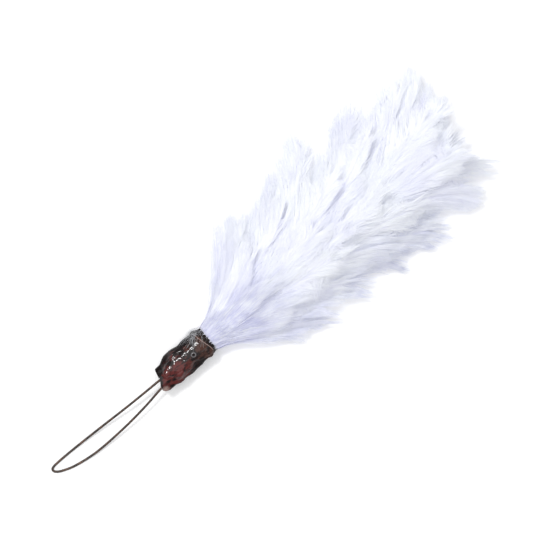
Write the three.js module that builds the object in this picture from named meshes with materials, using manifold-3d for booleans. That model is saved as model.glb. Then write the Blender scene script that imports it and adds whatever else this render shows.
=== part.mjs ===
// A white feather hackle, the plume worn behind the badge of a cap, lying on a flat surface.
// Millimetres, +Z up. The origin is the middle of the flat spot under the binding, where it rests.
// +X runs from the binding towards the tips of the feathers, +Y to the fuller side of the plume.
//
// The pieces are a loop of wire, a lump of lacquered thread that binds it to the quills, and 56
// cut feathers. The feathers stand in seven rings, one inside another, like nested trumpets: the
// outermost ring is the shortest, and each ring further in reaches further before it flares.
import * as THREE from "three";
import { mergeVertices } from "three/addons/utils/BufferGeometryUtils.js";
import Module from "manifold-3d";

const wasm = await Module();
wasm.setup();

// Finishes
const WIRE_FINISH = { color: 0x4a3a33, roughness: 0.45, metalness: 0.8 };
const LACQUER_FINISH = { color: 0x3a1a17, roughness: 0.25, metalness: 0.0 };
const FEATHER_FINISH = { color: 0xeef1fb, roughness: 0.9, metalness: 0.0 };

// The binding
const BINDING_REAR = -9.6;
const BINDING_FRONT = 10.5;
const AXIS_HEIGHT = 4.75; // the binding's axis above the surface
const CUP_FLOOR = 5.6; // the quills stand in a cup in the binding's front
const CUP_RADIUS = 4.05;
const BINDING_SHOULDER = 3.35; // its radius at the rear, and then at its middle
const BINDING_BODY = 4.6;
const SHOULDER_END = 0.32; // shares of the binding's length, here and below
const SHOULDER_SHIFT = -0.65; // the rear stands this much to one side, and the middle doesn't
const SHIFT_END = 0.5;
const BELLY = 0.3; // how much the middle swells
const BELLY_END = 0.87;
const COLLAR = { height: 0.42, place: 0.87, width: 0.05 };
const LIP = { drop: 0.4, start: 0.92 }; // the front's edge is rounded off
const FOLDS_START = 0.15;
const FOLDS = [
  { height: 0.13, lobes: 5, twist: 9, turned: 0 },
  { height: 0.1, lobes: 3, twist: -17, turned: 1 },
  { height: 0.1, lobes: 2, twist: 31, turned: 0 },
];
const REAR_ROUNDING = 0.86; // the rear face's share of the shoulder
const REAR_FACE = -9.1;
const REAR_BULGE = 1; // how much further back its middle line is than its two sides
const LUGS = [
  { length: 1.9, angle: 2.35, sharpness: 5 },
  { length: 0.3, angle: 0.3, sharpness: 6 },
];
const BINDING_STATIONS = [0.09, 0.16, 0.24, 0.33, 0.43, 0.53, 0.63, 0.72, 0.8, 0.84, 0.88, 0.92, 0.96, 1];
const BINDING_SIDES = 24;

const CUTTER = [60, 60, 20]; // takes off what would reach below the surface

// The wire loop
const WIRE_RADIUS = 0.36; // to the flats of its section
const SOCKET_GAP = 0.3; // between a leg of the wire and its hole in the binding
const SOCKET_DEPTH = 4.5;
const WIRE_SIDES = 8;
const STEPS_PER_BEND_POINT = 5;
const WIRE_DROP = 0.2; // from the binding's axis down to where the wire enters it
const WIRE_RISE_START = -47; // forward of here it leaves the surface

// The plume. A ring's tip is how far along X it reaches, and left, right and up are how far its
// tips stand off the axis. It runs at its bore radius up to flare, and then bends outwards as a
// power of the distance. offset shifts its feathers by a share of their spacing.
const RINGS = [
  { count: 10, bore: 3.7, tip: 43, flare: 9, bend: 1.75, left: 26, right: 19, up: 10.5, offset: 0.5 },
  { count: 10, bore: 3.05, tip: 60, flare: 10, bend: 2.15, left: 30.5, right: 19, up: 12.5, offset: 0.2 },
  { count: 9, bore: 2.5, tip: 77, flare: 14, bend: 2.35, left: 35.5, right: 20.5, up: 13.5, offset: 0.5 },
  { count: 9, bore: 1.95, tip: 92, flare: 24, bend: 2.2, left: 30.5, right: 22, up: 13.5, offset: 0.25 },
  { count: 8, bore: 1.4, tip: 109, flare: 38, bend: 2.3, left: 29, right: 19.5, up: 12, offset: 0.5 },
  { count: 7, bore: 0.85, tip: 117, flare: 52, bend: 2.2, left: 23.5, right: 14, up: 9, offset: 0.2 },
  { count: 3, bore: 0.32, tip: 119, flare: 62, bend: 2.2, left: 11, right: 3, up: 5, offset: 0.75 },
];
const CORE_RISE = 4.1; // the plume's middle rises this much above the binding's axis
const CORE_RISE_END = 55;
const CORE_SPREAD = 0.6; // the rings stand this share further apart once clear of the binding
const CORE_SPREAD_END = 32;
const FLOOR_GAP = 0.32; // from a lowest feather's middle surface to what it lies on
const FLATTENING_END = 7; // a round ring has become a flat lens once it has spread this far
const EDGE_THINNING = 0.6; // how much thinner that lens is than an ellipse, towards its edges
const SIDE_FULLNESS = 0.1;
const SIDE_CROWDING = 0.12; // evens out the spacing of feathers round the lens
const SIDE_SAG = 0.6; // feathers that stand off to the sides hang this share lower
const SAG_START = 6;
const SAG_END = 24;

// One feather
const QUILL_END = 6.2;
const QUILL_MIDDLE = 24; // a bend point of the long bare quills
const FIRST_VANE_FOOT = 11;
const VANE_LENGTH = 60;
const VANE_HALF_WIDTH = 6.8;
const VANE_FOOT_HALF_WIDTH = 2.6;
const VANE_FOOT_END = 0.6; // share of the vane's length at which its foot has tapered out
const VANE_SWELL_PLACE = 1.3; // above 1, the broadest place is past the vane's middle
const VANE_FULLNESS = 0.8;
const VANE_FULL_START = 0.3; // the vane is at its thickest between these shares of its length
const VANE_FULL_END = 0.7;
const TIP_HALF_WIDTH = 0.2;
const LEAST_HALF_WIDTH = 0.14;
const QUILL_HALF_WIDTH = 0.42;
const QUILL_THICKNESS = 0.26;
const VANE_THICKNESS = 0.62;
const TIP_THICKNESS = 0.3;
const SECTOR_SHARE = 0.9; // of its share of the ring that a feather may fill
const SIDE_GAP = 0.16;
const TIP_SPREAD = 3; // feathers of one ring differ in length by up to this much either way
const STAND_OFF_SPREAD = 0.07;
const NOTCH = { depth: 9, place: -2, width: 4 }; // a gap in the plume's end, between two lobes
const VANE_STATIONS = [0, 0.16, 0.32, 0.48, 0.63, 0.77, 0.89, 1];
const VANE_SECTION = [
  [-1, 0],
  [-0.4, 0.5],
  [0.4, 0.5],
  [1, 0],
  [0.4, -0.5],
  [-0.4, -0.5],
]; // across in half-widths and outwards in thicknesses

// Repeatable irregularity, from -1 to 1.
function wobble(seed) {
  const value = Math.sin(seed * 12.9898) * 43758.5453;
  return 2 * (value - Math.floor(value)) - 1;
}

// 0 below start, 1 above end, and a smooth rise in between.
function smooth(start, end, value) {
  return THREE.MathUtils.smoothstep(value, start, end);
}

// A closed skin over rings of points. Rings run along the piece, points run round it. A facet with
// four corners is split along its shorter diagonal, so that opposite walls of a twisted blade agree.
function skin(rings) {
  const around = rings[0].length;
  const places = rings.flat();
  const faces = [];
  for (let i = 0; i < rings.length - 1; i++) {
    for (let j = 0; j < around; j++) {
      const a = i * around + j;
      const b = i * around + ((j + 1) % around);
      const c = b + around;
      const d = a + around;
      const splitAtA = places[a].distanceTo(places[c]) < places[b].distanceTo(places[d]);
      if (splitAtA) faces.push(a, b, c, a, c, d);
      else faces.push(a, b, d, b, c, d);
    }
  }
  const last = (rings.length - 1) * around;
  for (let j = 1; j < around - 1; j++) {
    faces.push(0, j + 1, j, last, last + j, last + j + 1);
  }
  const geometry = new THREE.BufferGeometry().setFromPoints(places);
  geometry.setIndex(faces);
  return geometry;
}

// A solid for cutting and joining, from a geometry.
function solidFrom(geometry) {
  const bare = geometry.clone();
  bare.deleteAttribute("normal");
  bare.deleteAttribute("uv");
  const merged = mergeVertices(bare, 1e-4);
  return new wasm.Manifold(
    new wasm.Mesh({
      numProp: 3,
      vertProperties: merged.attributes.position.array,
      triVerts: new Uint32Array(merged.index.array),
    }),
  );
}

function geometryFrom(solid) {
  const mesh = solid.getMesh();
  const geometry = new THREE.BufferGeometry();
  geometry.setAttribute("position", new THREE.BufferAttribute(mesh.vertProperties, 3));
  geometry.setIndex(new THREE.BufferAttribute(mesh.triVerts, 1));
  return geometry;
}

function piece(name, geometry, finish) {
  const mesh = new THREE.Mesh(geometry, new THREE.MeshStandardMaterial(finish));
  mesh.name = name;
  geometry.computeVertexNormals();
  return mesh;
}

// The wire's line: the straight leg runs out of the binding, turns sharply at the end of the
// loop, and comes back as the bowed leg. It slopes down to the surface that it lies on.
class BentWire extends THREE.CatmullRomCurve3 {
  // Steps follow the bend points, so the sharp turn gets as many as a long leg.
  getUtoTmapping(share) {
    return share;
  }
}

function wireHeight(x) {
  const resting = WIRE_RADIUS / Math.cos(Math.PI / WIRE_SIDES);
  const rise = smooth(WIRE_RISE_START, BINDING_REAR + 2, x);
  return THREE.MathUtils.lerp(resting, AXIS_HEIGHT - WIRE_DROP, rise);
}

function wireLine(extra) {
  const inside = BINDING_REAR + SOCKET_DEPTH + extra;
  const bends = [
    [inside, -0.2],
    [-9.7, -0.2],
    [-22, -0.05],
    [-34, 0.35],
    [-44, 0.6],
    [-50, 0.6],
    [-52.7, 0.35],
    [-53.4, -0.4],
    [-52.8, -1.4],
    [-51, -2.4],
    [-46.8, -3.75],
    [-39, -4.75],
    [-28, -4.5],
    [-18.3, -3.6],
    [-10.6, -2.45],
    [inside, -2.2],
  ];
  const places = bends.map(([x, y]) => new THREE.Vector3(x, y, wireHeight(x)));
  return new BentWire(places);
}

function wireGeometry(radius, extra) {
  const section = new THREE.Shape();
  for (let i = 0; i < WIRE_SIDES; i++) {
    const angle = (2 * Math.PI * (i + 0.5)) / WIRE_SIDES;
    const reach = radius / Math.cos(Math.PI / WIRE_SIDES);
    const corner = [reach * Math.cos(angle), reach * Math.sin(angle)];
    if (i === 0) section.moveTo(...corner);
    else section.lineTo(...corner);
  }
  const line = wireLine(extra);
  const steps = STEPS_PER_BEND_POINT * (line.points.length - 1);
  return new THREE.ExtrudeGeometry(section, { steps, extrudePath: line, curveSegments: 1 });
}

// The binding's radius: a narrow shoulder at the rear, a fat middle, a collar and a rounded lip at
// the front, with slanting folds where the soaked thread bunched up.
function bindingRadius(x, angle) {
  const along = (x - BINDING_REAR) / (BINDING_FRONT - BINDING_REAR);
  const body = THREE.MathUtils.lerp(BINDING_SHOULDER, BINDING_BODY, smooth(0, SHOULDER_END, along));
  const belly = BELLY * Math.sin(Math.PI * Math.min(1, along / BELLY_END));
  const collar = COLLAR.height * Math.exp(-(((along - COLLAR.place) / COLLAR.width) ** 2));
  const lip = LIP.drop * smooth(LIP.start, 1, along);
  let folds = 0;
  for (const { height, lobes, twist, turned } of FOLDS) {
    folds += height * Math.sin(lobes * angle + twist * along + turned);
  }
  return body + belly + collar - lip + folds * smooth(0, FOLDS_START, along);
}

// How far the middle of the binding stands from the axis, sideways.
function bindingMiddle(x) {
  const along = (x - BINDING_REAR) / (BINDING_FRONT - BINDING_REAR);
  return SHOULDER_SHIFT * (1 - smooth(0, SHIFT_END, along));
}

function ringOfPoints(x, radiusAt) {
  const points = [];
  for (let j = 0; j < BINDING_SIDES; j++) {
    const angle = (2 * Math.PI * j) / BINDING_SIDES;
    const radius = radiusAt(angle);
    const y = bindingMiddle(x) + radius * Math.cos(angle);
    const z = AXIS_HEIGHT + radius * Math.sin(angle);
    points.push(new THREE.Vector3(x, y, z));
  }
  return points;
}

// The rim of the bulging rear face. Two short lugs of set lacquer stick out of it, one each side
// of the wire.
function rearPlace(angle) {
  let place = REAR_FACE + REAR_BULGE * Math.cos(angle) ** 2;
  for (const { length, angle: middle, sharpness } of LUGS) {
    place -= length * Math.max(0, Math.cos(angle - middle)) ** sharpness;
  }
  return place;
}

function bindingGeometry() {
  const rear = ringOfPoints(BINDING_REAR, (angle) => bindingRadius(BINDING_REAR, angle) * REAR_ROUNDING);
  rear.forEach((place, j) => {
    place.x = rearPlace((2 * Math.PI * j) / BINDING_SIDES);
  });
  const rings = [rear];
  for (const share of BINDING_STATIONS) {
    const x = THREE.MathUtils.lerp(BINDING_REAR, BINDING_FRONT, share);
    rings.push(ringOfPoints(x, (angle) => bindingRadius(x, angle)));
  }
  rings.push(ringOfPoints(BINDING_FRONT, () => CUP_RADIUS));
  rings.push(ringOfPoints(CUP_FLOOR, () => CUP_RADIUS));
  return skin(rings);
}

// The binding, cut flat where it rests, with two holes for the legs of the wire.
function binding() {
  const below = new THREE.BoxGeometry(...CUTTER).translate(0, 0, -CUTTER[2] / 2);
  const holes = wireGeometry(WIRE_RADIUS + SOCKET_GAP, SOCKET_GAP);
  const lump = solidFrom(bindingGeometry());
  const rested = lump.subtract(solidFrom(below));
  return rested.subtract(solidFrom(holes));
}

// The height of the plume's middle line.
function coreHeight(x) {
  return AXIS_HEIGHT + CORE_RISE * smooth(BINDING_FRONT - 2, CORE_RISE_END, x);
}

// A point of a ring's middle surface. turn goes round the ring from the left side over the top.
function ringPlace(ring, turn, x) {
  const spread = 1 + CORE_SPREAD * smooth(BINDING_FRONT, CORE_SPREAD_END, x);
  const bore = ring.bore * spread;
  const share = Math.max(0, (x - ring.flare) / (ring.tip - ring.flare)) ** ring.bend;
  const side = Math.cos(turn) > 0 ? ring.left : ring.right;
  const height = Math.sin(turn) > 0 ? ring.up : coreHeight(x) - FLOOR_GAP;
  const wide = bore + (side - bore) * share;
  const tall = bore + (height - bore) * share;
  const flattened = smooth(0, FLATTENING_END, wide - bore);
  const angle = turn + SIDE_CROWDING * flattened * Math.sin(2 * turn);
  const y = wide * Math.cos(angle) * (1 + SIDE_FULLNESS * flattened * Math.sin(angle) ** 2);
  const z = tall * Math.sin(angle) * (1 - EDGE_THINNING * flattened * Math.cos(angle) ** 2);
  return new THREE.Vector3(x, y, coreHeight(x) + z);
}

// All heights shrink with the distance from the plume's middle line, as its sides sag.
function sagged(place) {
  place.z *= 1 - SIDE_SAG * smooth(SAG_START, SAG_END, Math.abs(place.y));
  return place;
}

// The direction straight out of the ring's surface, and how many millimetres a unit of turn is.
function ringFrame(ring, turn, x) {
  const step = 0.01;
  const round = ringPlace(ring, turn + step, x).sub(ringPlace(ring, turn - step, x));
  const along = ringPlace(ring, turn, x + step).sub(ringPlace(ring, turn, x - step));
  const outward = new THREE.Vector3().crossVectors(round, along).normalize();
  return { outward, millimetresPerTurn: round.length() / (2 * step) };
}

// Half the vane's width, from its downy foot at 0, broadest past the middle, to its point at 1.
function vaneHalfWidth(share) {
  const foot = VANE_FOOT_HALF_WIDTH * (1 - smooth(0, VANE_FOOT_END, share));
  const swell = VANE_HALF_WIDTH * Math.sin(Math.PI * share ** VANE_SWELL_PLACE) ** VANE_FULLNESS;
  return Math.max(TIP_HALF_WIDTH, foot, swell);
}

// Where a feather's sections stand: two or three along its bare quill, where vane is below 0, and
// the rest along its vane, where vane is the share of its length.
function featherStations(tip) {
  const vaneFoot = Math.max(FIRST_VANE_FOOT, tip - VANE_LENGTH);
  const bare = [QUILL_END, BINDING_FRONT];
  if (vaneFoot > QUILL_MIDDLE) bare.push(QUILL_MIDDLE);
  const stations = bare.map((x) => ({ x, vane: -1 }));
  for (const share of VANE_STATIONS) {
    stations.push({ x: THREE.MathUtils.lerp(vaneFoot, tip, share), vane: share });
  }
  return stations;
}

// One section of a feather, a flat six-sided ring of points, as wide as the vane there or as the
// feather's share of the ring allows.
function featherSection(ring, turn, sector, x, vane) {
  const { millimetresPerTurn } = ringFrame(ring, turn, x);
  const room = sector * millimetresPerTurn - SIDE_GAP;
  const wanted = vane < 0 ? QUILL_HALF_WIDTH : vaneHalfWidth(vane);
  const half = Math.max(LEAST_HALF_WIDTH, Math.min(wanted, room));
  const swollen = smooth(0, VANE_FULL_START, vane) * (1 - smooth(VANE_FULL_END, 1, vane));
  const edge = vane === 1 ? TIP_THICKNESS : QUILL_THICKNESS;
  const thickness = THREE.MathUtils.lerp(edge, VANE_THICKNESS, swollen);
  return VANE_SECTION.map(([across, out]) => {
    const at = turn + (across * half) / millimetresPerTurn;
    const { outward } = ringFrame(ring, at, x);
    return sagged(ringPlace(ring, at, x).addScaledVector(outward, out * thickness));
  });
}

// One feather: its quill from the binding's cup, and its vane out to a point.
function feather(ring, turn, sector) {
  const stations = featherStations(ring.tip);
  return skin(stations.map(({ x, vane }) => featherSection(ring, turn, sector, x, vane)));
}

// How much shorter a feather is when it ends near the notch in the plume's end.
function notched(ring, turn) {
  const side = (Math.cos(turn) > 0 ? ring.left : ring.right) * Math.cos(turn);
  return NOTCH.depth * Math.exp(-(((side - NOTCH.place) / NOTCH.width) ** 2));
}

function plume() {
  const group = new THREE.Group();
  let number = 0;
  RINGS.forEach((ring, level) => {
    for (let j = 0; j < ring.count; j++) {
      number += 1;
      const turn = (2 * Math.PI * (j + ring.offset)) / ring.count;
      const sector = (Math.PI / ring.count) * SECTOR_SHARE;
      const tip = ring.tip + TIP_SPREAD * wobble(number) - notched(ring, turn);
      const wider = 1 + STAND_OFF_SPREAD * wobble(number + 100);
      const own = { ...ring, tip, left: ring.left * wider, right: ring.right * wider };
      const name = `feather_${String(number).padStart(2, "0")}`;
      group.add(piece(name, feather(own, turn, sector), FEATHER_FINISH));
    }
  });
  return group;
}

const hackle = new THREE.Group();
hackle.add(piece("wire_loop", wireGeometry(WIRE_RADIUS, 0), WIRE_FINISH));
hackle.add(piece("binding", geometryFrom(binding()), LACQUER_FINISH));
hackle.add(plume());

export default hackle;
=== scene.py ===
"""A white feather hackle lying on a pale surface, seen from straight above.

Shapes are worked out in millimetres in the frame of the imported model, and made metres as they
go into a mesh. X runs from the binding to the tips of the feathers, Y to the fuller side, Z up.
"""

import bpy
import numpy as np
from mathutils import Matrix, Vector


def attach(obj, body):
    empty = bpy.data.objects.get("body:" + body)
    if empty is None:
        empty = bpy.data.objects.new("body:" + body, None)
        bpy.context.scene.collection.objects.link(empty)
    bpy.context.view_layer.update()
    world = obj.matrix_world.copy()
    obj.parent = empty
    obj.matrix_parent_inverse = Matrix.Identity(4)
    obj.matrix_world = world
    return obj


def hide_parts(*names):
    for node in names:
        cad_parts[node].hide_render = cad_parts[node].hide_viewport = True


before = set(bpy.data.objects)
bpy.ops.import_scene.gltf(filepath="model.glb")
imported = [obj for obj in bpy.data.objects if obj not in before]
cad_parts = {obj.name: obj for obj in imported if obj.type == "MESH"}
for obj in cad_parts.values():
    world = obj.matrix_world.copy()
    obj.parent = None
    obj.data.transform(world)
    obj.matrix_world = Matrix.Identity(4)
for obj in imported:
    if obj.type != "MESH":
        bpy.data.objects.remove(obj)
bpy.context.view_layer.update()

# The wire loop
# One length of browned iron wire, bent round into a long narrow loop by hand. Its two ends run
# into the rear of the binding, and the closed end of the loop lies on the surface.
MM = 0.001
BINDING_REAR = -9.6
AXIS_HEIGHT = 4.75
WIRE_RADIUS = 0.37
WIRE_SIDES = 20
WIRE_SOCKET = 4.5
WIRE_DROP = 0.2
WIRE_CLEARANCE = 0.04
WIRE_RISE_START = -47
WIRE_RISE_END = BINDING_REAR + 2
STEPS_PER_BEND = 14
WIRE_BENDS = (
    (BINDING_REAR + WIRE_SOCKET, -0.2),
    (-9.7, -0.2),
    (-22, -0.05),
    (-34, 0.35),
    (-44, 0.6),
    (-50, 0.6),
    (-52.7, 0.35),
    (-53.4, -0.4),
    (-52.8, -1.4),
    (-51, -2.4),
    (-46.8, -3.75),
    (-39, -4.75),
    (-28, -4.5),
    (-18.3, -3.6),
    (-10.6, -2.45),
    (BINDING_REAR + WIRE_SOCKET, -2.2),
)
WIRE_COLOUR = (0.06, 0.05, 0.045)
WIRE_RUST = (0.13, 0.08, 0.06)
RUST_SCALE = 0.55
RUST_SHARE = ((0.42, 0), (0.68, 1))
WIRE_ROUGHNESS = dict(least=0.34, spread=0.25, scale=2.4)


def smooth(start, end, value):
    """0 below start, 1 above end, and a smooth cubic rise in between."""
    share = np.clip((value - start) / (end - start), 0, 1)
    return share * share * (3 - 2 * share)


def unit(vectors):
    """Vectors of length 1, along the last axis of the array."""
    return vectors / np.maximum(np.linalg.norm(vectors, axis=-1, keepdims=True), 1e-9)


def wire_height(x):
    """The wire's middle: on the surface at the loop's end, up to near the binding's axis at its
    rear, along a smooth cubic."""
    rest = WIRE_RADIUS + WIRE_CLEARANCE
    rise = smooth(WIRE_RISE_START, WIRE_RISE_END, x)
    return rest + (AXIS_HEIGHT - WIRE_DROP - rest) * rise


def spline(points, steps):
    """A Catmull-Rom curve through the points, steps to each stretch: a cubic between two points
    whose slopes are half the way from the point before to the point after."""
    ends = (2 * points[0] - points[1], 2 * points[-1] - points[-2])
    all_points = np.vstack([ends[0], points, ends[1]])
    before, here, there, after = (all_points[i : len(all_points) - 3 + i, None] for i in range(4))
    t = np.linspace(0, 1, steps, endpoint=False)[None, :, None]
    linear = t * (there - before)
    square = t**2 * (2 * before - 5 * here + 4 * there - after)
    cube = t**3 * (3 * here - before - 3 * there + after)
    curve = (here + (linear + square + cube) / 2).reshape(-1, 3)
    return np.vstack([curve, points[-1]])


def grid_faces(rows, columns, wrap):
    """Quads between the points of a grid stored row by row. wrap joins its last column to its first."""
    across = np.arange(columns if wrap else columns - 1)
    beside = (across + 1) % columns
    first = np.arange(rows - 1)[:, None] * columns
    corners = (first + across, first + beside, first + columns + beside, first + columns + across)
    return np.stack(corners, axis=-1).reshape(-1, 4)


def tube(line, radii, sides):
    """A round tube along a line. Each ring of points stands square to the line, at its radius,
    and keeps one side to the vertical. Returns its points, row by row, and its faces."""
    forward = unit(np.gradient(line, axis=0))
    level = unit(np.cross((0, 0, 1), forward))
    upward = np.cross(forward, level)
    angle = np.linspace(0, 2 * np.pi, sides, endpoint=False)[None, :, None]
    ring = np.cos(angle) * level[:, None] + np.sin(angle) * upward[:, None]
    points = line[:, None] + ring * np.reshape(radii, (-1, 1, 1))
    return points.reshape(-1, 3), grid_faces(len(line), sides, True)


def new_piece(name, points, faces, material, closed_ends=()):
    """A mesh object from points in millimetres. closed_ends are rings of points that end a tube."""
    mesh = bpy.data.meshes.new(name)
    polygons = faces.tolist() + [list(map(int, ring)) for ring in closed_ends]
    mesh.from_pydata((points * MM).tolist(), [], polygons)
    mesh.polygons.foreach_set("use_smooth", np.ones(len(mesh.polygons), bool))
    mesh.materials.append(material)
    mesh.update()
    piece = bpy.data.objects.new(name, mesh)
    bpy.context.scene.collection.objects.link(piece)
    return piece


class Socket:
    """A shader value. An expression on it adds the Math nodes that work it out."""

    def __init__(self, owner, output):
        self.owner = owner
        self.output = output

    def math(self, operation, other):
        return self.owner.node("ShaderNodeMath", {"operation": operation}, self, other)

    def __add__(self, other):
        return self.math("ADD", other)

    def __mul__(self, other):
        return self.math("MULTIPLY", other)

    def __sub__(self, other):
        return self.math("SUBTRACT", other)

    def __rsub__(self, other):
        return (self * -1) + other

    __radd__ = __add__
    __rmul__ = __mul__


class Finish:
    """A material with one Principled shader, which takes constants by their sockets' names. node
    adds any other node to it."""

    def __init__(self, name, **constants):
        self.material = bpy.data.materials.new(name)
        self.material.use_nodes = True
        self.tree = self.material.node_tree
        self.shader = self.tree.nodes["Principled BSDF"]
        for key, value in constants.items():
            self.shader.inputs[key.replace("_", " ")].default_value = value

    def node(self, kind, settings, *inputs, output=0, **named):
        """Adds a node: its settings first, then its sockets, by their order or by name."""
        made = self.tree.nodes.new(kind)
        for key, value in settings.items():
            if key == "stops":
                for stop, (place, colour) in zip(self.stops_of(made, len(value)), value):
                    stop.position = place
                    stop.color = (*colour, 1)
            else:
                setattr(made, key, value)
        wanted = list(enumerate(inputs)) + [(key.replace("_", " "), named[key]) for key in named]
        for key, value in wanted:
            if isinstance(value, Socket):
                self.tree.links.new(value.output, made.inputs[key])
            elif value is not None:
                made.inputs[key].default_value = value
        return Socket(self, made.outputs[output])

    def stops_of(self, ramp, count):
        stops = ramp.color_ramp.elements
        while len(stops) < count:
            stops.new(1)
        return list(stops)

    def stretched(self, vector, scale):
        return self.node("ShaderNodeVectorMath", {"operation": "MULTIPLY"}, vector, scale)

    def distance(self, vector, spot):
        return self.node("ShaderNodeVectorMath", {"operation": "DISTANCE"}, vector, spot, output=1)

    def place(self, scale=(1, 1, 1)):
        """The piece's own coordinates in millimetres, stretched by scale along X, Y and Z."""
        coordinates = self.node("ShaderNodeTexCoord", {}, output="Object")
        return self.stretched(coordinates, [factor / MM for factor in scale])

    def axes(self, vector):
        """The three numbers of a vector."""
        made = self.node("ShaderNodeSeparateXYZ", {}, vector)
        return [Socket(self, output) for output in made.output.node.outputs]

    def noise(self, vector, scale, detail=3, roughness=0.55, distortion=0):
        return self.node(
            "ShaderNodeTexNoise", {}, Vector=vector, Scale=scale, Detail=detail,
            Roughness=roughness, Distortion=distortion,
        )

    def ramp(self, value, *stops):
        """A share or a colour that follows a value. A stop is a place of the value and what holds
        there, and between two stops it changes evenly."""
        low, high = stops[0][0], stops[-1][0]
        placed = []
        for place, shade in stops:
            colour = shade if isinstance(shade, tuple) else (shade,) * 3
            placed.append(((place - low) / (high - low), colour))
        along = (value - low) * (1 / (high - low))
        return self.node("ShaderNodeValToRGB", {"stops": placed}, along)

    def mix(self, share, first, second):
        """A colour between two colours. The Mix node's sockets 1 to 5 are for other kinds."""
        colours = [(*shade, 1) if isinstance(shade, tuple) else shade for shade in (first, second)]
        others = (None,) * 5
        return self.node("ShaderNodeMix", {"data_type": "RGBA"}, share, *others, *colours, output=2)

    def feed(self, key, value):
        self.tree.links.new(value.output, self.shader.inputs[key])

    def rough(self, roughness):
        grain = self.noise(self.place(), roughness["scale"])
        self.feed("Roughness", roughness["least"] + roughness["spread"] * grain)

    def bump(self, height, distance, strength):
        self.feed("Normal", self.node(
            "ShaderNodeBump", {}, Height=height, Distance=distance * MM, Strength=strength,
        ))


def wire_finish():
    """Browned iron with rusty blotches."""
    finish = Finish("browned_iron", Metallic=0.9)
    rusty = finish.ramp(finish.noise(finish.place(), RUST_SCALE), *RUST_SHARE)
    finish.feed("Base Color", finish.mix(rusty, WIRE_COLOUR, WIRE_RUST))
    finish.rough(WIRE_ROUGHNESS)
    return finish.material


def make_wire():
    flat = np.array(WIRE_BENDS, float)
    line = spline(np.column_stack([flat, wire_height(flat[:, 0])]), STEPS_PER_BEND)
    points, faces = tube(line, np.full(len(line), WIRE_RADIUS), WIRE_SIDES)
    rear = np.arange(WIRE_SIDES)[::-1]
    front = len(points) - WIRE_SIDES + np.arange(WIRE_SIDES)
    wire = new_piece("wire", points, faces, wire_finish(), (rear, front))
    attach(wire, "root")
    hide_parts("wire_loop")


make_wire()

# The binding
# Thread wound tightly round the quills and the wire, and brushed with red-brown lacquer until it
# set as one hard glossy lump. It is folded and wrinkled, has a collar at the front, and two lugs
# of set lacquer at the rear. It is open at the front, where the quills stand in it.
BINDING_FRONT = 10.5
BINDING_SHOULDER = 3.35
BINDING_BODY = 4.6
SHOULDER_END = 0.32
SHOULDER_SHIFT = -0.65
SHIFT_END = 0.5
BELLY = 0.3
BELLY_END = 0.87
COLLAR = dict(height=0.42, place=0.87, width=0.05)
LIP = dict(drop=0.4, start=0.92)
FOLDS_START = 0.15
FOLDS = (
    dict(height=0.13, lobes=5, twist=9, turned=0),
    dict(height=0.1, lobes=3, twist=-17, turned=1),
    dict(height=0.1, lobes=2, twist=31, turned=0),
)
REAR_ROUNDING = 0.86
REAR_FACE = -9.1
REAR_BULGE = 1
REAR_HOLLOW = dict(depth=0.9, sharpness=6, cone=0.2, middle=0.02)
LUGS = (dict(length=1.9, angle=2.35, sharpness=5), dict(length=0.3, angle=0.3, sharpness=6))
EDGE_ROUNDING = dict(end=0.05, power=0.6)
CUP_FLOOR = 5.6
CUP_RADIUS = 4.05
CUP_WALL = dict(extra=0.08, start=0.8)
LIP_BULGE = 0.12
BINDING_SIDES = 300
BINDING_STEPS = 230
REAR_STEPS = 26
LIP_STEPS = 7
CUP_STEPS = 10
FLAT_UNDERSIDE = 0.02
RELIEF_END = 0.04
WAVES = dict(count=28, shortest=0.75, longest=1.35)
BUMPS = (
    dict(height=0.08, stretch=(0.55, 1, 1), length=3.4, seed=5),
    dict(height=0.032, stretch=(0.8, 1, 1), length=1.7, seed=8),
    dict(height=0.009, stretch=(1, 1, 1), length=0.75, seed=13),
)
CREASES = dict(depth=0.13, width=0.13, stretch=(0.3, 1, 1), length=3.2, seed=17)
BUBBLE = dict(x=3.9, angle=1.76, radius=0.62, rim=0.22, rim_width=0.3, depth=0.35, floor=3)
STROKE = dict(angle=1.35, slant=-0.012, radius=4.97, flatness=0.74, width=0.23)
STROKE_WAVER = (dict(height=0.06, turns=1.9, phase=1), dict(height=0.03, turns=5.3, phase=0))
STROKE_PUCKERS = dict(height=0.01, stretch=(1, 1, 1), length=0.9, seed=21)
STROKE_ENDS = dict(rear=-6.5, rear_fade=1.5, front=7.5, front_fade=1)
LACQUER_BLACK = (0.009, 0.0055, 0.0055)
LACQUER_RED = (0.11, 0.02, 0.018)
LACQUER_BROWN = (0.075, 0.033, 0.024)
# Pale colour of the spot at the rear, and of a painted highlight behind the front's edge.
PALE_SPOT_AND_HIGHLIGHT = (0.42, 0.3, 0.27)
# The pale grey of a painted highlight on the bubble's rim.
BUBBLE_RIM_HIGHLIGHT = (0.22, 0.21, 0.22)
LACQUER_COLOURS = (-1, LACQUER_RED), (5, LACQUER_BROWN), (9, LACQUER_BROWN), (10, LACQUER_BLACK)
PATCHES = dict(scale=0.75, detail=6, roughness=0.65, distortion=0.5)
PATCH_STRETCH = (0.6, 1, 1)
# Weights that make the lacquer blacker. Its last one darkens it low on the sides: painted shade.
BLACKER = dict(sideways=0.018, lug=0.3, waist=0.09, low_side_shade=0.04)
LUG_SLANT = 0.6
LUG_SHARE = (-8.8, 1), (-7.8, 0)
WAIST_SHARE = (-1, 0), (2, 1), (4.6, 1), (7, 0)
THIN_SHARE = (0.78, 0), (0.95, 1)
# A pale spot at the rear, where the bowed leg goes in.
PALE_SPOT_PLACE = (-9.8, -2.6, 6.2)
PALE_SPOT_RAGGED = 1.875
PALE_SPOT_SHARE = (2.25, 1), (3.25, 0)
BUBBLE_SPOT = (3.9, -0.9, 9.5)
BUBBLE_RAGGED = 0.4
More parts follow.
